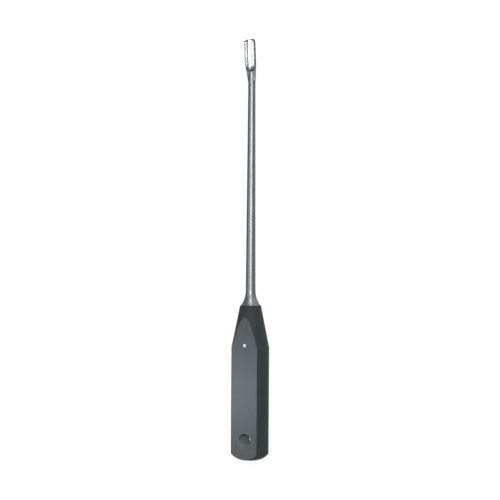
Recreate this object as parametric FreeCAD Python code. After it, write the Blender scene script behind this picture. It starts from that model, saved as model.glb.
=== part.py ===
import FreeCAD, Part
import math
import os

from FreeCAD import Placement, Rotation, Vector

# Bone gouge with a long round shaft and a turned handle with two flats.
# Millimetres. It lies on one flat: +Y runs from the handle to the cutting end,
# +Z out of the upper flat, and the trough of the blade opens towards +Z.
# The origin is where the hanging hole crosses the axis of the tool.

# Whole tool
overall_length = 280.0
handle_length = 102.8
hole_from_end = 13.7

# Handle
handle_radius = 12.55
flat_half_width = 8.55
cone_length = 27.9
top_radius = 6.95
top_rounding = 0.5
dome_radius = 11.4
dome_flat_radius = 3.6
hole_radius = 4.5
hole_edge_break = 0.15

# Shaft and bolster
neck_radius = 2.37
shaft_root_radius = 3.22
bolster_length = 10.2
bolster_radius = 6.45
bolster_curve_radius = 17.0

# Tang inside the handle
tang_radius = 3.5
tang_length = 56.0
tang_chamfer = 0.8
tang_clearance = 0.05
tang_end_clearance = 0.6

# Cross pin through the handle and the tang
pin_radius = 1.05
pin_from_top = 26.4
pin_clearance = 0.01

# Blade
neck_to_tip = 30.5
shoulder_to_tip = 17.0
blade_half_width = 3.8
blade_thickness = 4.07
blade_lean = 5.1
bend_length = 5.0
neck_sections = 6
core_inset = 0.03
core_overlap = 1.0
core_end_radius = 1.9
core_past_trough_end = 2.0
flank_start = 0.5
crown_height = 0.12
end_rounding_height = 2.7
end_side_clearance = 0.01
rim_width = 0.4
trough_depth = 3.1
trough_end_to_tip = 22.0
trough_end_radius = 3.9
bevel_length = 5.5
edge_thickness = 0.15

# Room that a cutting body has past the surface it cuts
past = 5.0

handle_end_y = -hole_from_end
handle_top_y = handle_end_y + handle_length
tip_y = handle_end_y + overall_length
neck_y = tip_y - neck_to_tip
shoulder_y = tip_y - shoulder_to_tip
pin_y = handle_top_y - pin_from_top
lean_slope = math.tan(math.radians(blade_lean))


def line(start, end):
    return Part.LineSegment(start, end).toShape()


def arc(start, middle, end):
    return Part.Arc(start, middle, end).toShape()


def turned(edges):
    """Solid of a closed outline in the XY plane turned round the Y axis."""
    face = Part.Face(Part.Wire(edges))
    return face.revolve(Vector(0, 0, 0), Vector(0, 1, 0), 360)


def rod(radius, length, base, direction):
    return Part.makeCylinder(radius, length, base, direction)


# Handle


def handle_body():
    """Round body with a domed end and a cone that leads to the bolster."""
    dome_centre = Vector(dome_flat_radius, handle_end_y + dome_radius, 0)
    reach = handle_radius - dome_flat_radius
    dome_height = dome_radius - math.sqrt(dome_radius**2 - reach**2)
    half_turn = math.asin(reach / dome_radius) / 2
    dome_middle = dome_centre + Vector(math.sin(half_turn), -math.cos(half_turn), 0) * dome_radius
    end_centre = Vector(0, handle_end_y, 0)
    end_edge = Vector(dome_flat_radius, handle_end_y, 0)
    dome_top = Vector(handle_radius, handle_end_y + dome_height, 0)
    cone_base = Vector(handle_radius, handle_top_y - cone_length, 0)
    cone_top = Vector(top_radius, handle_top_y, 0)
    top_centre = Vector(0, handle_top_y, 0)
    body = turned([
        line(end_centre, end_edge),
        arc(end_edge, dome_middle, dome_top),
        line(dome_top, cone_base),
        line(cone_base, cone_top),
        line(cone_top, top_centre),
        line(top_centre, end_centre),
    ])
    top_edges = [e for e in body.Edges if e.BoundBox.YMin > handle_top_y - top_rounding]
    return body.makeFillet(top_rounding, [e for e in top_edges if e.BoundBox.XLength > top_radius])


def flat_block(side):
    """What is milled away above or below one flat."""
    width = 2 * (handle_radius + past)
    length = handle_length + 2 * past
    depth = handle_radius - flat_half_width + past
    base_z = flat_half_width if side > 0 else -flat_half_width - depth
    base = Vector(-width / 2, handle_end_y - past, base_z)
    return Part.makeBox(width, length, depth, base)


def hanging_hole():
    """Cross hole with a small break of both edges, along Z through the origin."""
    up = Vector(0, 0, 1)
    half = flat_half_width
    hole = rod(hole_radius, 2 * (half + past), -up * (half + past), up)
    wide = hole_radius + hole_edge_break
    upper = Part.makeCone(hole_radius, wide, hole_edge_break, up * (half - hole_edge_break), up)
    lower = Part.makeCone(hole_radius, wide, hole_edge_break, -up * (half - hole_edge_break), -up)
    return [hole, upper, lower]


def tang_socket():
    """Blind bore in the handle that the tang goes into."""
    depth = tang_length + tang_end_clearance
    base = Vector(0, handle_top_y - depth, 0)
    return rod(tang_radius + tang_clearance, depth + past, base, Vector(0, 1, 0))


def pin_bore():
    half = flat_half_width + past
    base = Vector(0, pin_y, -half)
    return rod(pin_radius + pin_clearance, 2 * half, base, Vector(0, 0, 1))


def handle():
    cuts = [flat_block(1), flat_block(-1), tang_socket(), pin_bore()]
    return handle_body().cut(cuts + hanging_hole())


def cross_pin():
    """Pin ground flush with both flats."""
    base = Vector(0, pin_y, -flat_half_width)
    return rod(pin_radius, 2 * flat_half_width, base, Vector(0, 0, 1))


# Shaft


def shaft():
    """Tang, bolster and tapered shaft up to the neck of the blade, turned as one."""
    tang_end_y = handle_top_y - tang_length
    bolster_y = handle_top_y + bolster_length
    tang_end = Vector(tang_radius - tang_chamfer, tang_end_y, 0)
    tang_side = Vector(tang_radius, tang_end_y + tang_chamfer, 0)
    tang_root = Vector(tang_radius, handle_top_y, 0)
    seat_edge = Vector(bolster_radius, handle_top_y, 0)
    shaft_root = Vector(shaft_root_radius, bolster_y, 0)
    shaft_end = Vector(neck_radius, neck_y, 0)
    chord = shaft_root - seat_edge
    sagitta = bolster_curve_radius - math.sqrt(bolster_curve_radius**2 - (chord.Length / 2) ** 2)
    inward = Vector(-chord.y, chord.x, 0).normalize()
    hollow = (seat_edge + shaft_root) * 0.5 + inward * sagitta
    return turned([
        line(Vector(0, tang_end_y, 0), tang_end),
        line(tang_end, tang_side),
        line(tang_side, tang_root),
        line(tang_root, seat_edge),
        arc(seat_edge, hollow, shaft_root),
        line(shaft_root, shaft_end),
        line(shaft_end, Vector(0, neck_y, 0)),
        line(Vector(0, neck_y, 0), Vector(0, tang_end_y, 0)),
    ])


# Blade


def lean_rise(from_neck):
    """How far the blade's own axis has risen, past a smooth bend at the neck."""
    if from_neck < bend_length:
        return lean_slope * from_neck**2 / (2 * bend_length)
    return lean_slope * (from_neck - bend_length / 2)


def blank_section(y, half_width, side_z, back_z, top_z):
    """Round back and lower crown that meet at the two side edges."""
    left = Vector(-half_width, y, side_z)
    right = Vector(half_width, y, side_z)
    back = arc(left, Vector(0, y, back_z), right)
    crown = arc(right, Vector(0, y, top_z), left)
    return Part.Wire([back, crown])


def neck_section(share):
    """Section at a share of the way from the round neck, 0, to the shoulders, 1."""
    from_neck = share * (neck_to_tip - shoulder_to_tip)
    y = neck_y + from_neck
    rise = lean_rise(from_neck)
    spread = blade_half_width - neck_radius
    half_width = neck_radius + spread * (flank_start * share + (1 - flank_start) * share**2)
    side_z = rise + (on_rim(y) - rise) * math.sin(math.radians(90 * share))
    top_z = side_z + neck_radius * (1 - share) ** 3 + crown_height * share
    return blank_section(y, half_width, side_z, rise - neck_radius, top_z)


def neck():
    shares = [i / (neck_sections - 1) for i in range(neck_sections)]
    return Part.makeLoft([neck_section(share) for share in shares], True, False)


def neck_core():
    """Round of the shaft, which runs on straight in front up to the trough's end."""
    start_y = neck_y - core_overlap
    end_y = tip_y - trough_end_to_tip + core_past_trough_end
    front_z = neck_radius - core_inset
    ends = []
    for y, radius in [(start_y, front_z), (end_y, core_end_radius)]:
        centre = Vector(0, y, front_z - radius)
        ends.append(Part.Wire(Part.makeCircle(radius, centre, Vector(0, 1, 0))))
    return Part.makeLoft(ends, True, True)


def blade_bar():
    """Leaning bar of the full width from the shoulders to past the cutting end."""
    shoulder = neck_section(1)
    reach = shoulder_to_tip + past
    return Part.Face(shoulder).extrude(Vector(0, reach, reach * lean_slope))


def on_rim(y):
    """Height of the rim plane at a place along the tool."""
    return blade_thickness - neck_radius + lean_rise(y - neck_y)


def leaning(shape, y):
    """Tilts a body drawn along +Y from the origin onto the rim plane at y."""
    shape.Placement = Placement(Vector(0, y, on_rim(y)), Rotation(Vector(1, 0, 0), blade_lean))
    return shape


def trough_radius():
    half_width = blade_half_width - rim_width
    return (half_width**2 + trough_depth**2) / (2 * trough_depth)


def trough_profile(top):
    """Round bottom and straight walls, in the XZ plane with the rims at zero height."""
    half_width = blade_half_width - rim_width
    bottom = Vector(0, 0, -trough_depth)
    left = Vector(-half_width, 0, 0)
    right = Vector(half_width, 0, 0)
    left_top = Vector(-half_width, 0, top)
    right_top = Vector(half_width, 0, top)
    return Part.Face(Part.Wire([
        arc(left, bottom, right),
        line(right, right_top),
        line(right_top, left_top),
        line(left_top, left),
    ]))


def trough():
    """Half-round trough that a round-nosed wheel leaves, with its run-out."""
    wheel_z = trough_end_radius - trough_depth
    run_out = math.sqrt(trough_end_radius**2 - wheel_z**2)
    wheel_to_tip = trough_end_to_tip - run_out
    profile = trough_profile(wheel_z)
    straight = profile.extrude(Vector(0, wheel_to_tip + past, 0))
    end = profile.revolve(Vector(0, 0, wheel_z), Vector(1, 0, 0), -90)
    return leaning(straight.fuse(end), tip_y - wheel_to_tip)


def above_rims():
    """What stands above the rim plane from the trough's end to the tip."""
    width = 2 * (blade_half_width + past)
    length = shoulder_to_tip + past
    block = Part.makeBox(width, length, past, Vector(-width / 2, 0, 0))
    return leaning(block, shoulder_y)


def rounded_end():
    """Outline of the cutting end seen from the front, as a tall prism."""
    half = blade_half_width + end_side_clearance
    side_y = tip_y - end_rounding_height
    far_y = neck_y - past
    ellipse = Part.Ellipse(Vector(0, side_y, 0), half, end_rounding_height)
    end = Part.ArcOfEllipse(ellipse, 0, math.pi).toShape()
    outline = Part.Face(Part.Wire([
        end,
        line(Vector(-half, side_y, 0), Vector(-half, far_y, 0)),
        line(Vector(-half, far_y, 0), Vector(half, far_y, 0)),
        line(Vector(half, far_y, 0), Vector(half, side_y, 0)),
    ]))
    low_z = -neck_radius - past
    high_z = on_rim(tip_y) + past
    outline.translate(Vector(0, 0, low_z))
    return outline.extrude(Vector(0, 0, high_z - low_z))


def back_bevel():
    """Cone round the trough's axis that the back is ground to near the edge."""
    edge_radius = trough_radius() + edge_thickness
    web_thickness = blade_thickness - trough_depth
    slope = (web_thickness - edge_thickness) / bevel_length
    length = neck_to_tip + past
    cone = Part.makeCone(
        edge_radius + slope * length,
        edge_radius - slope * past,
        length + past,
        Vector(0, -length, trough_radius() - trough_depth),
        Vector(0, 1, 0),
    )
    return leaning(cone, tip_y)


def blade():
    blank = neck().fuse([neck_core(), blade_bar()])
    blank = blank.common(rounded_end())
    blank = blank.common(back_bevel())
    return blank.cut([above_rims(), trough()])


def gouge():
    """Tang, bolster, shaft and blade in one piece of steel, drilled for the pin."""
    return shaft().fuse(blade()).removeSplitter().cut(pin_bore())


def main():
    os.makedirs("parts", exist_ok=True)
    nodes = {
        "blade_and_shaft": gouge(),
        "handle": handle(),
        "cross_pin": cross_pin(),
    }
    for name, shape in nodes.items():
        shape.exportStep(f"parts/{name}.step")
        print(name, "solids", len(shape.Solids), "valid", shape.isValid(), "volume", round(shape.Volume, 2))


main()
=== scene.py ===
import math

import bmesh
import bpy
from bpy.props import FloatProperty, FloatVectorProperty, PointerProperty
from mathutils import Matrix, Vector


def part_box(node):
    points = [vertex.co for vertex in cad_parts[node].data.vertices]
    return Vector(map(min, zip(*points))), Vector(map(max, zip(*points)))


bl_info = {
    "name": "Bone gouge",
    "version": (1, 0, 0),
    "blender": (4, 5, 0),
    "location": "View3D > Sidebar > Gouge",
    "description": "Finishes for a bone gouge with a two-flat handle, on a pale studio floor",
    "category": "Object",
}

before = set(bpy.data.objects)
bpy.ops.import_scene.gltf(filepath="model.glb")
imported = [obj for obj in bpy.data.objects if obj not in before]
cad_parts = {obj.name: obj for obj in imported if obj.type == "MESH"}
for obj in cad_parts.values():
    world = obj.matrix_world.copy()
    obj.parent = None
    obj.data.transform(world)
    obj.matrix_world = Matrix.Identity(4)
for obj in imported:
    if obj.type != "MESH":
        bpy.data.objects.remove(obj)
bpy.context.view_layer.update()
STEEL_NODE = "blade_and_shaft"
HANDLE_NODE = "handle"
PIN_NODE = "cross_pin"

steel_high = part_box(STEEL_NODE)[1]
handle_low, handle_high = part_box(HANDLE_NODE)

# Where the finishes change, in metres in the tool's own frame.

# The blade's rims lie in a plane that leans towards the trough's opening.
TIP_Y = steel_high.y
RIM_TIP_Z = 0.0042
BLADE_LEAN = math.radians(5.1)

# The trough is round about an axis that runs just over the rims.
TROUGH_RADIUS = 0.003415
TROUGH_AXIS_OVER_RIM = 0.000315
TROUGH_SKIN = 0.00003

# The run-out starts this far behind the tip. Its length times the share is about the trough's
# radius, so that scaled by the share it is round in every direction.
RUN_OUT_START = 0.01818
RUN_OUT_SHARE = 0.891

# The rounded end is half an ellipse, and its ground edge, painted dark as shade, lies outside a
# smaller one.
ROUND_END_LENGTH = 0.0027
EDGE_HALF_WIDTH = 0.00335
EDGE_LENGTH = 0.00215

# Places along the trough's axis, from the tip, between which the blade's outside darkens with
# painted shade and the polished trough and its painted highlight end.
BLADE_SHADE_START = -0.022
BLADE_SHADE_END = -0.018
POLISH_START = -0.0205
POLISH_END = -0.0165

# Places along the tool between which the shaft turns into the bolster, painted lighter as a
# highlight.
BOLSTER_START = 0.0968
BOLSTER_END = 0.0925

# What counts as the hanging hole's wall and as one of the handle's flats.
BORE_RADIUS = 0.0046
FLAT_DEPTH = 0.00001

# Fine texture of the finishes. A scale is in repeats per metre, along X, Y and Z where it has
# three numbers, and a contrast is how far the colour varies to each side.
CLOUD_SCALE = (120, 40, 120)
CLOUD_CONTRAST = 0.06
GRAIN_DETAIL = 3.0
GRAIN_ROUGHNESS = 0.05
PIN_MARK_SCALE = (4000, 400, 400)
PIN_MARK_CONTRAST = 0.1
MOTTLE_DETAIL = 4.0
MOTTLE_CONTRAST = 0.12
WEAVE_STRETCH = 0.6
WEAVE_DEPTH = 0.000006
SPECKLE_SCALE = 900.0
SPECKLE_CONTRAST = 0.01

# Reflection of the finishes
STEEL_RIM_TINT = (0.1, 0.1, 0.1, 1)
LAMINATE_TINT = (0.85, 0.95, 1.0, 1)
LAMINATE_IOR = 1.55
FLOOR_ROUGHNESS = 0.9
FLOOR_GLOSS = 0.1

# Studio, in metres: lamp places are from the middle of the picture, and lamp sizes are across
# and along the tool.
ALONG = Vector((0, 1, 0))
FLOOR_Z = handle_low.z
FLOOR_REACH = 4.0
NEAREST_VIEW = 0.01
MAIN_LAMP_DISTANCE = 1.4
MAIN_LAMP_SHIFT = 0.16
MAIN_LAMP_SIZE = (0.25, 0.48)
SIDE_LAMP_PLACE = Vector((-0.46, -0.05, 0.95))
SIDE_LAMP_SIZE = (1.0, 0.8)
SMALL_LAMP_PLACE = Vector((-0.52, -0.19, 0.89))
SMALL_LAMP_SIZE = (0.2, 0.06)
END_LAMP_SIZE = (0.3, 1.0)


def srgb(red, green, blue):
    """Scene-linear colour of a screen colour given from 0 to 255."""
    def linear(value):
        share = value / 255
        return share / 12.92 if share <= 0.04045 else ((share + 0.055) / 1.055) ** 2.4
    return (linear(red), linear(green), linear(blue))


class SteelFinish(bpy.types.PropertyGroup):
    colour: FloatVectorProperty(
        name="Colour", description="Colour of the satin steel", subtype="COLOR", size=3,
        min=0, max=1, default=(0.165, 0.171, 0.176))
    # Painted shade: the blade's outside is darker than the shaft's steel, standing in for the dark
    # it mirrors.
    blade_shade_colour: FloatVectorProperty(
        name="Blade shade colour", description="Colour of the blade's outside", subtype="COLOR",
        size=3, min=0, max=1, default=(0.09, 0.093, 0.095))
    # Painted shade: the ground edge round the tip is painted near black.
    tip_edge_shade_colour: FloatVectorProperty(
        name="Tip edge shade colour", description="Colour of the ground edge round the tip", subtype="COLOR",
        size=3, min=0, max=1, default=(0.035, 0.037, 0.038))
    # Painted highlight: the bolster's steel is lighter than the shaft's.
    bolster_highlight_colour: FloatVectorProperty(
        name="Bolster highlight colour", description="Colour of the bolster, lighter as a painted highlight", subtype="COLOR", size=3,
        min=0, max=1, default=(0.24, 0.248, 0.252))
    # Painted highlight: the pin ends are lighter than the shaft's steel.
    pin_highlight_colour: FloatVectorProperty(
        name="Pin highlight colour", description="Colour of the ground pin ends", subtype="COLOR", size=3,
        min=0, max=1, default=(0.48, 0.49, 0.495))
    # Painted highlight: the polished trough's steel is lighter than the satin steel.
    trough_highlight_colour: FloatVectorProperty(
        name="Trough highlight colour", description="Colour of the polished trough, lighter as a painted highlight", subtype="COLOR", size=3,
        min=0, max=1, default=(0.55, 0.56, 0.565))
    roughness: FloatProperty(
        name="Roughness", description="Roughness of the satin shaft", subtype="FACTOR",
        min=0, max=1, default=0.4)
    trough_roughness: FloatProperty(
        name="Trough roughness", description="Roughness of the polished trough",
        subtype="FACTOR", min=0, max=1, default=0.28)
    stretch: FloatProperty(
        name="Stretch", description="How far the polishing lines spread the light across the tool",
        subtype="FACTOR", min=0, max=1, default=0.55)
    grain_width: FloatProperty(
        name="Grain width", description="Width of one polishing line",
        unit="LENGTH", default=0.00012)
    grain_length: FloatProperty(
        name="Grain length", description="Length of one polishing line",
        unit="LENGTH", default=0.012)
    grain_depth: FloatProperty(
        name="Grain depth", description="Depth of the polishing lines", unit="LENGTH",
        default=0.0000015)


class HandleFinish(bpy.types.PropertyGroup):
    colour: FloatVectorProperty(
        name="Colour", description="Colour of the dark laminate", subtype="COLOR", size=3,
        min=0, max=1, default=srgb(40, 45, 47))
    drilled_colour: FloatVectorProperty(
        name="Drilled colour", description="Colour of the laminate in the drilled hole",
        subtype="COLOR", size=3, min=0, max=1, default=srgb(116, 122, 125))
    turned_roughness: FloatProperty(
        name="Turned roughness", description="Roughness of the turned round and the cone",
        subtype="FACTOR", min=0, max=1, default=0.65)
    flat_roughness: FloatProperty(
        name="Flat roughness", description="Roughness of the two polished flats",
        subtype="FACTOR", min=0, max=1, default=0.2)
    turned_gloss: FloatProperty(
        name="Turned gloss", description="Mirror share of the turned round and the cone",
        subtype="FACTOR", min=0, max=1, default=0.15)
    flat_gloss: FloatProperty(
        name="Flat gloss", description="Mirror share of the two polished flats",
        subtype="FACTOR", min=0, max=1, default=0.4)
    mottle_size: FloatProperty(
        name="Mottle size", description="Size of the cloudy patches in the laminate",
        unit="LENGTH", default=0.006)
    weave_size: FloatProperty(
        name="Weave size", description="Distance between the threads of the laminate's cloth",
        unit="LENGTH", default=0.0004)


class StudioSettings(bpy.types.PropertyGroup):
    distance: FloatProperty(
        name="Camera distance", description="From the camera to the axis of the tool",
        unit="LENGTH", default=1.033)
    turn: FloatProperty(
        name="Camera turn", description="From the normal of the upper flat, about the tool",
        subtype="ANGLE", default=math.radians(26.5))
    lean: FloatProperty(
        name="Picture lean", description="How far the tool leans to the right in the picture",
        subtype="ANGLE", default=math.radians(0.34))
    tip_to_centre: FloatProperty(
        name="Tip to centre", description="From the tip to the middle of the picture",
        unit="LENGTH", default=0.1404)
    centre_offset: FloatProperty(
        name="Centre offset", description="How far the tool stands to the right of the middle",
        unit="LENGTH", default=0.00058)
    picture_width: FloatProperty(
        name="Picture width", description="Width that the picture covers at the tool's axis",
        unit="LENGTH", default=0.3327)
    floor_colour: FloatVectorProperty(
        name="Floor colour", description="Colour of the studio floor", subtype="COLOR", size=3,
        min=0, max=1, default=(0.93, 0.93, 0.93))
    floor_white: FloatProperty(
        name="Floor white", description="How far the floor's picture is lifted to plain white",
        subtype="FACTOR", min=0, max=1, default=0.85)
    main_power: FloatProperty(
        name="Main lamp power", description="Power of the long lamp over the camera in watts",
        default=15.0)
    side_power: FloatProperty(
        name="Side lamp power", description="Power of the wide lamp to the left in watts",
        default=3.4)
    small_power: FloatProperty(
        name="Small lamp power", description="Power of the small lamp to the left in watts",
        default=0.33)
    end_power: FloatProperty(
        name="End lamp power", description="Power of the lamp beyond the tip in watts",
        default=9.5)
    fill_strength: FloatProperty(
        name="Fill strength", description="Strength of the even light from around",
        default=0.2)


class Shader:
    """Short helpers for building one node material."""

    def __init__(self, name):
        self.material = bpy.data.materials.new(name)
        self.material.use_nodes = True
        self.tree = self.material.node_tree
        self.surface = self.tree.nodes["Principled BSDF"]

    def node(self, kind, **values):
        made = self.tree.nodes.new(kind)
        for key, value in values.items():
            setattr(made, key, value)
        return made

    def link(self, output, target):
        self.tree.links.new(output, target)

    def place(self, scale=(1, 1, 1)):
        """Object coordinates, stretched by a Mapping node."""
        coordinates = self.node("ShaderNodeTexCoord")
        mapping = self.node("ShaderNodeMapping")
        mapping.inputs["Scale"].default_value = scale
        self.link(coordinates.outputs["Object"], mapping.inputs["Vector"])
        return mapping.outputs["Vector"]

    def noise(self, vector, scale=1.0, detail=2.0):
        """Smooth noise from 0 to 1."""
        texture = self.node("ShaderNodeTexNoise")
        texture.inputs["Scale"].default_value = scale
        texture.inputs["Detail"].default_value = detail
        self.link(vector, texture.inputs["Vector"])
        return texture.outputs["Fac"]

    def spread(self, value, low, high):
        """Maps a value from 0 to 1 onto low to high."""
        mapped = self.node("ShaderNodeMapRange")
        mapped.inputs["To Min"].default_value = low
        mapped.inputs["To Max"].default_value = high
        self.link(value, mapped.inputs["Value"])
        return mapped.outputs["Result"]

    def blend(self, value, first, second):
        """Colour from first to second, each a colour or a node's output, by a value from 0 to 1."""
        mix = self.node("ShaderNodeMix", data_type="RGBA")
        for name, colour in (("A", first), ("B", second)):
            if isinstance(colour, bpy.types.NodeSocket):
                self.link(colour, mix.inputs[name])
            else:
                mix.inputs[name].default_value = (*colour, 1)
        self.link(value, mix.inputs["Factor"])
        return mix.outputs["Result"]

    def varied(self, value, colour, contrast):
        """Colour that varies by the contrast, darker to lighter, as a value goes from 0 to 1."""
        return self.blend(value, tinted(colour, 1 - contrast), tinted(colour, 1 + contrast))

    def between(self, share, value, target):
        """A value that turns into a fixed target as share goes from 0 to 1."""
        mix = self.node("ShaderNodeMix", data_type="FLOAT")
        mix.inputs["B"].default_value = target
        self.link(value, mix.inputs["A"])
        self.link(share, mix.inputs["Factor"])
        return mix.outputs["Result"]

    def ramp(self, value, start, end, high=1.0):
        """0 up to the start, then rising evenly to the high value at the end."""
        mapped = self.node("ShaderNodeMapRange")
        mapped.inputs["From Min"].default_value = start
        mapped.inputs["From Max"].default_value = end
        mapped.inputs["To Max"].default_value = high
        self.link(value, mapped.inputs["Value"])
        return mapped.outputs["Result"]

    def past(self, value, start, direction, factor):
        """How far the value is past the start in a direction, 1 or -1, times the factor."""
        return self.ramp(value, start, start + direction, factor)

    def length(self, **parts):
        """Length of the vector with these X, Y and Z."""
        vector = self.node("ShaderNodeCombineXYZ")
        for axis, value in parts.items():
            self.link(value, vector.inputs[axis])
        measured = self.node("ShaderNodeVectorMath", operation="LENGTH")
        self.link(vector.outputs["Vector"], measured.inputs[0])
        return measured.outputs["Value"]

    def split(self, vector):
        """X, Y and Z of a vector."""
        parts = self.node("ShaderNodeSeparateXYZ")
        self.link(vector, parts.inputs["Vector"])
        return parts.outputs["X"], parts.outputs["Y"], parts.outputs["Z"]

    def compare(self, operation, value, limit):
        """1 where the value is on the wanted side of the limit, else 0."""
        test = self.node("ShaderNodeMath", operation=operation)
        test.inputs[1].default_value = limit
        self.link(value, test.inputs[0])
        return test.outputs["Value"]

    def both(self, first, second):
        """Product of two values from 0 to 1."""
        product = self.node("ShaderNodeMath", operation="MULTIPLY")
        self.link(first, product.inputs[0])
        self.link(second, product.inputs[1])
        return product.outputs["Value"]

    def bump(self, height, distance):
        """Normal of a surface that rises by the distance where the height is 1."""
        made = self.node("ShaderNodeBump")
        made.inputs["Distance"].default_value = distance
        self.link(height, made.inputs["Height"])
        return made.outputs["Normal"]

    def seen_directly(self):
        """1 for rays from the camera, a mirror or glass, and 0 for light that falls on."""
        rays = self.node("ShaderNodeLightPath")
        total = rays.outputs["Is Camera Ray"]
        for kind in ("Is Glossy Ray", "Is Transmission Ray"):
            added = self.node("ShaderNodeMath", operation="ADD", use_clamp=True)
            self.link(total, added.inputs[0])
            self.link(rays.outputs[kind], added.inputs[1])
            total = added.outputs["Value"]
        return total


def tinted(colour, factor):
    """Colour made lighter or darker by a factor."""
    return tuple(min(1.0, channel * factor) for channel in colour)


def along_trough(steel):
    """X, Y and Z measured from the tip end of the trough's own axis."""
    coordinates = steel.node("ShaderNodeTexCoord")
    along = steel.node("ShaderNodeMapping", vector_type="TEXTURE")
    along.inputs["Location"].default_value = (0, TIP_Y, RIM_TIP_Z + TROUGH_AXIS_OVER_RIM)
    along.inputs["Rotation"].default_value = (BLADE_LEAN, 0, 0)
    steel.link(coordinates.outputs["Object"], along.inputs["Vector"])
    return steel.split(along.outputs["Vector"])


def behind_edge(steel):
    """0 in the ground edge round the tip, and 1 on the blade behind it."""
    x, y = steel.split(steel.place())[:2]
    end = steel.past(y, TIP_Y - ROUND_END_LENGTH, 1, EDGE_HALF_WIDTH / EDGE_LENGTH)
    return steel.compare("LESS_THAN", steel.length(X=x, Y=end), EDGE_HALF_WIDTH)


def in_trough(steel, x, y, z, behind):
    """1 in the trough behind its edge, fading in its run-out, and 0 on the other steel."""
    run_out = steel.past(y, -RUN_OUT_START, -1, RUN_OUT_SHARE)
    from_axis = steel.length(X=x, Y=run_out, Z=z)
    near = steel.compare("LESS_THAN", from_axis, TROUGH_RADIUS + TROUGH_SKIN)
    low = steel.compare("LESS_THAN", z, -TROUGH_AXIS_OVER_RIM - TROUGH_SKIN)
    fading = steel.ramp(y, POLISH_START, POLISH_END)
    return steel.both(steel.both(near, low), steel.both(behind, fading))


def on_tip(steel, y, behind):
    """1 in the ground edge round the tip, where dark shade is painted, and 0 elsewhere."""
    ahead = steel.compare("GREATER_THAN", y, -ROUND_END_LENGTH)
    front = steel.compare("LESS_THAN", behind, 0.5)
    return steel.both(ahead, front)


def steel_colour(steel, finish, trough_polish_and_highlight, tip, y):
    """Satin shaft, with a lighter bolster and polished trough as painted highlights, and a darker
    blade outside and tip edge as painted shade.
    """
    clouds = steel.noise(steel.place(CLOUD_SCALE))
    satin = steel.varied(clouds, finish.colour, CLOUD_CONTRAST)
    tool_y = steel.split(steel.place())[1]
    # Painted highlight: the bolster is lighter than the shaft's steel.
    bolster = steel.ramp(tool_y, BOLSTER_START, BOLSTER_END)
    with_bolster_highlight = steel.blend(bolster, satin, finish.bolster_highlight_colour)
    # Painted shade: the blade's outside turns darker than the shaft.
    blade = steel.ramp(y, BLADE_SHADE_START, BLADE_SHADE_END)
    with_blade_shade = steel.blend(blade, with_bolster_highlight, finish.blade_shade_colour)
    # Painted shade: the ground edge round the tip is near black.
    with_tip_shade = steel.blend(tip, with_blade_shade, finish.tip_edge_shade_colour)
    # Painted highlight: the polished trough is lighter than the satin steel.
    return steel.blend(trough_polish_and_highlight, with_tip_shade, finish.trough_highlight_colour)


def satin_steel(finish):
    """Steel polished along the tool, with fine lines and a slight cloudiness, painted lighter on
    the bolster and trough as highlights and darker on the blade and tip edge as shade.
    """
    steel = Shader("satin_steel")
    across = 1 / finish.grain_width
    along = 1 / finish.grain_length
    lines = steel.noise(steel.place((across, along, across)), detail=GRAIN_DETAIL)
    x, y, z = along_trough(steel)
    behind = behind_edge(steel)
    # The trough's mask carries its real polish and its painted highlight.
    trough_polish_and_highlight = in_trough(steel, x, y, z, behind)
    tip = on_tip(steel, y, behind)
    colour = steel_colour(steel, finish, trough_polish_and_highlight, tip, y)
    steel.link(colour, steel.surface.inputs["Base Color"])
    smooth, coarse = finish.roughness - GRAIN_ROUGHNESS, finish.roughness + GRAIN_ROUGHNESS
    rough = steel.between(trough_polish_and_highlight, steel.spread(lines, smooth, coarse), finish.trough_roughness)
    steel.link(rough, steel.surface.inputs["Roughness"])
    height = steel.between(trough_polish_and_highlight, lines, 0.5)
    steel.link(steel.bump(height, finish.grain_depth), steel.surface.inputs["Normal"])
    steel.surface.inputs["Metallic"].default_value = 1.0
    steel.surface.inputs["Specular Tint"].default_value = STEEL_RIM_TINT
    steel.surface.inputs["Anisotropic"].default_value = finish.stretch
    around = steel.node("ShaderNodeTangent", direction_type="RADIAL", axis="Y")
    steel.link(around.outputs["Tangent"], steel.surface.inputs["Tangent"])
    return steel.material


def ground_steel(finish):
    """Steel of the pin, ground flush with the flats and painted lighter than the shaft as a
    highlight.
    """
    steel = Shader("ground_steel")
    marks = steel.noise(steel.place(PIN_MARK_SCALE))
    # Painted highlight: the pin's steel is lighter than the shaft's.
    colour = steel.varied(marks, finish.pin_highlight_colour, PIN_MARK_CONTRAST)
    steel.link(colour, steel.surface.inputs["Base Color"])
    steel.surface.inputs["Roughness"].default_value = finish.roughness
    steel.surface.inputs["Metallic"].default_value = 1.0
    return steel.material


def in_bore(laminate):
    """1 in the hanging hole and 0 on the rest of the handle."""
    x, y = laminate.split(laminate.place())[:2]
    return laminate.compare("LESS_THAN", laminate.length(X=x, Y=y), BORE_RADIUS)


def on_flats(laminate):
    """1 on the two flats and 0 on the rest of the handle."""
    height = laminate.node("ShaderNodeMath", operation="ABSOLUTE")
    laminate.link(laminate.split(laminate.place())[2], height.inputs[0])
    flat_z = handle_high.z - FLAT_DEPTH
    return laminate.compare("GREATER_THAN", height.outputs["Value"], flat_z)


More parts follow.
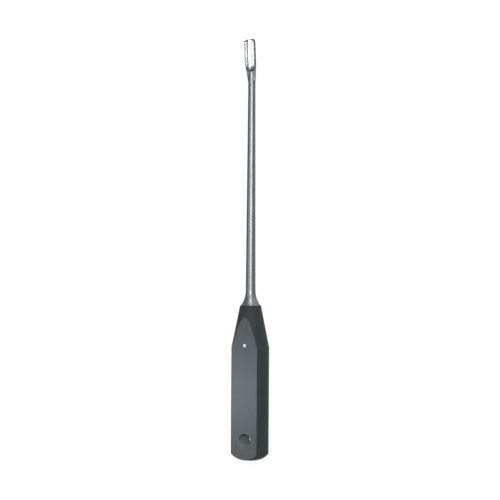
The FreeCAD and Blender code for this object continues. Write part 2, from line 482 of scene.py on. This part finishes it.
def dark_laminate(finish):
    """Dense dark cloth laminate, turned smooth: cloudy, with a faint weave."""
    laminate = Shader("dark_laminate")
    mottle = laminate.noise(laminate.place(), 1 / finish.mottle_size, MOTTLE_DETAIL)
    threads = 1 / finish.weave_size
    weave = laminate.noise(laminate.place((threads, threads * WEAVE_STRETCH, threads)))
    colour = laminate.varied(mottle, finish.colour, MOTTLE_CONTRAST)
    drilled = laminate.blend(in_bore(laminate), colour, finish.drilled_colour)
    laminate.link(drilled, laminate.surface.inputs["Base Color"])
    flats = on_flats(laminate)
    rough = laminate.spread(flats, finish.turned_roughness, finish.flat_roughness)
    laminate.link(rough, laminate.surface.inputs["Roughness"])
    gloss = laminate.spread(flats, finish.turned_gloss, finish.flat_gloss)
    laminate.link(gloss, laminate.surface.inputs["Specular IOR Level"])
    laminate.link(laminate.bump(weave, WEAVE_DEPTH), laminate.surface.inputs["Normal"])
    laminate.surface.inputs["IOR"].default_value = LAMINATE_IOR
    laminate.surface.inputs["Specular Tint"].default_value = LAMINATE_TINT
    return laminate.material


def dress(node, material):
    """Gives a CAD node one material in place of its own."""
    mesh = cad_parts[node].data
    mesh.materials.clear()
    mesh.materials.append(material)


class OBJECT_OT_gouge_steel(bpy.types.Operator):
    """Finish the blade and the shaft in satin steel and the cross pin in ground steel"""
    bl_idname = "object.gouge_steel"
    bl_label = "Steel Parts"

    def execute(self, context):
        dress(STEEL_NODE, satin_steel(context.scene.gouge_steel))
        dress(PIN_NODE, ground_steel(context.scene.gouge_steel))
        return {"FINISHED"}


class OBJECT_OT_gouge_handle(bpy.types.Operator):
    """Finish the handle in dark laminate"""
    bl_idname = "object.gouge_handle"
    bl_label = "Handle"

    def execute(self, context):
        dress(HANDLE_NODE, dark_laminate(context.scene.gouge_handle))
        return {"FINISHED"}


def pale_floor(studio):
    """Matte pale floor whose picture is lifted most of the way to plain white."""
    floor = Shader("pale_floor")
    speckle = floor.noise(floor.place(), SPECKLE_SCALE)
    colour = floor.varied(speckle, studio.floor_colour, SPECKLE_CONTRAST)
    floor.link(colour, floor.surface.inputs["Base Color"])
    floor.surface.inputs["Roughness"].default_value = FLOOR_ROUGHNESS
    floor.surface.inputs["Specular IOR Level"].default_value = FLOOR_GLOSS
    white = floor.node("ShaderNodeEmission")
    white.inputs["Strength"].default_value = 1.0
    share = floor.node("ShaderNodeMath", operation="MULTIPLY")
    share.inputs[1].default_value = studio.floor_white
    floor.link(floor.seen_directly(), share.inputs[0])
    lifted = floor.node("ShaderNodeMixShader")
    floor.link(share.outputs["Value"], lifted.inputs["Fac"])
    floor.link(floor.surface.outputs["BSDF"], lifted.inputs[1])
    floor.link(white.outputs["Emission"], lifted.inputs[2])
    floor.link(lifted.outputs["Shader"], floor.tree.nodes["Material Output"].inputs["Surface"])
    return floor.material


def add_floor(studio):
    mesh = bpy.data.meshes.new("studio_floor")
    build = bmesh.new()
    bmesh.ops.create_grid(build, x_segments=1, y_segments=1, size=FLOOR_REACH)
    bmesh.ops.translate(build, vec=(0, 0, FLOOR_Z), verts=build.verts)
    build.to_mesh(mesh)
    build.free()
    floor = bpy.data.objects.new("studio_floor", mesh)
    bpy.context.scene.collection.objects.link(floor)
    mesh.materials.append(pale_floor(studio))


def camera_axes(studio):
    """Right, up and back directions of the camera."""
    back = Vector((math.sin(studio.turn), 0, math.cos(studio.turn)))
    across = ALONG.cross(back)
    right = across * math.cos(studio.lean) + ALONG * math.sin(studio.lean)
    up = ALONG * math.cos(studio.lean) - across * math.sin(studio.lean)
    return right, up, back


def picture_middle(studio):
    """Point of the tool's axis at the height of the middle of the picture."""
    return Vector((0, TIP_Y - studio.tip_to_centre, 0))


def add_camera(studio):
    right, up, back = camera_axes(studio)
    centre = picture_middle(studio) - right * studio.centre_offset
    data = bpy.data.cameras.new("camera")
    camera = bpy.data.objects.new("camera", data)
    bpy.context.scene.collection.objects.link(camera)
    axes = Matrix((right, up, back)).transposed().to_4x4()
    camera.matrix_world = Matrix.Translation(centre + back * studio.distance) @ axes
    data.sensor_fit = "HORIZONTAL"
    data.lens = data.sensor_width * studio.distance / studio.picture_width
    data.clip_start = NEAREST_VIEW
    bpy.context.scene.camera = camera


def add_lamp(name, place, target, size, power):
    """Square-on lamp whose size is given across and along the tool."""
    data = bpy.data.lights.new(name, "AREA")
    data.shape = "RECTANGLE"
    data.size, data.size_y = size
    data.energy = power
    lamp = bpy.data.objects.new(name, data)
    bpy.context.scene.collection.objects.link(lamp)
    back = (place - target).normalized()
    across = ALONG.cross(back).normalized()
    axes = Matrix((across, back.cross(across), back)).transposed().to_4x4()
    lamp.matrix_world = Matrix.Translation(place) @ axes


def add_lights(studio):
    """Four lamps and an even light from around."""
    middle = picture_middle(studio)
    bolster = Vector((0, BOLSTER_END, 0))
    back = camera_axes(studio)[2]
    main = middle + back * MAIN_LAMP_DISTANCE + ALONG * MAIN_LAMP_SHIFT
    side = middle + SIDE_LAMP_PLACE
    small = middle + SMALL_LAMP_PLACE
    end = bolster + back + ALONG
    add_lamp("main_lamp", main, middle, MAIN_LAMP_SIZE, studio.main_power)
    add_lamp("side_lamp", side, middle, SIDE_LAMP_SIZE, studio.side_power)
    add_lamp("small_lamp", small, middle, SMALL_LAMP_SIZE, studio.small_power)
    add_lamp("end_lamp", end, bolster, END_LAMP_SIZE, studio.end_power)
    world = bpy.data.worlds.new("studio")
    world.use_nodes = True
    background = world.node_tree.nodes["Background"]
    background.inputs["Color"].default_value = (1, 1, 1, 1)
    background.inputs["Strength"].default_value = studio.fill_strength
    bpy.context.scene.world = world


class OBJECT_OT_gouge_studio(bpy.types.Operator):
    """Add the pale floor, the soft lamps and the camera"""
    bl_idname = "object.gouge_studio"
    bl_label = "Studio"

    def execute(self, context):
        studio = context.scene.gouge_studio
        add_floor(studio)
        add_camera(studio)
        add_lights(studio)
        context.scene.view_settings.view_transform = "Standard"
        return {"FINISHED"}


class VIEW3D_PT_gouge(bpy.types.Panel):
    bl_label = "Bone Gouge"
    bl_space_type = "VIEW_3D"
    bl_region_type = "UI"
    bl_category = "Gouge"

    def draw(self, context):
        layout = self.layout
        for operator in OPERATORS:
            layout.operator(operator.bl_idname)
        for group in PROPERTY_GROUPS:
            settings = getattr(context.scene, group)
            for name in settings.bl_rna.properties.keys():
                if name not in {"rna_type", "name"}:
                    layout.prop(settings, name)


OPERATORS = (OBJECT_OT_gouge_steel, OBJECT_OT_gouge_handle, OBJECT_OT_gouge_studio)
PROPERTY_GROUPS = {
    "gouge_steel": SteelFinish,
    "gouge_handle": HandleFinish,
    "gouge_studio": StudioSettings,
}
CLASSES = (*PROPERTY_GROUPS.values(), *OPERATORS, VIEW3D_PT_gouge)


def register():
    for each in CLASSES:
        bpy.utils.register_class(each)
    for name, group in PROPERTY_GROUPS.items():
        setattr(bpy.types.Scene, name, PointerProperty(type=group))


def unregister():
    for name in PROPERTY_GROUPS:
        delattr(bpy.types.Scene, name)
    for each in reversed(CLASSES):
        bpy.utils.unregister_class(each)


def main():
    register()
    bpy.ops.object.gouge_steel()
    bpy.ops.object.gouge_handle()
    bpy.ops.object.gouge_studio()
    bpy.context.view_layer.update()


if __name__ == "__main__":
    main()
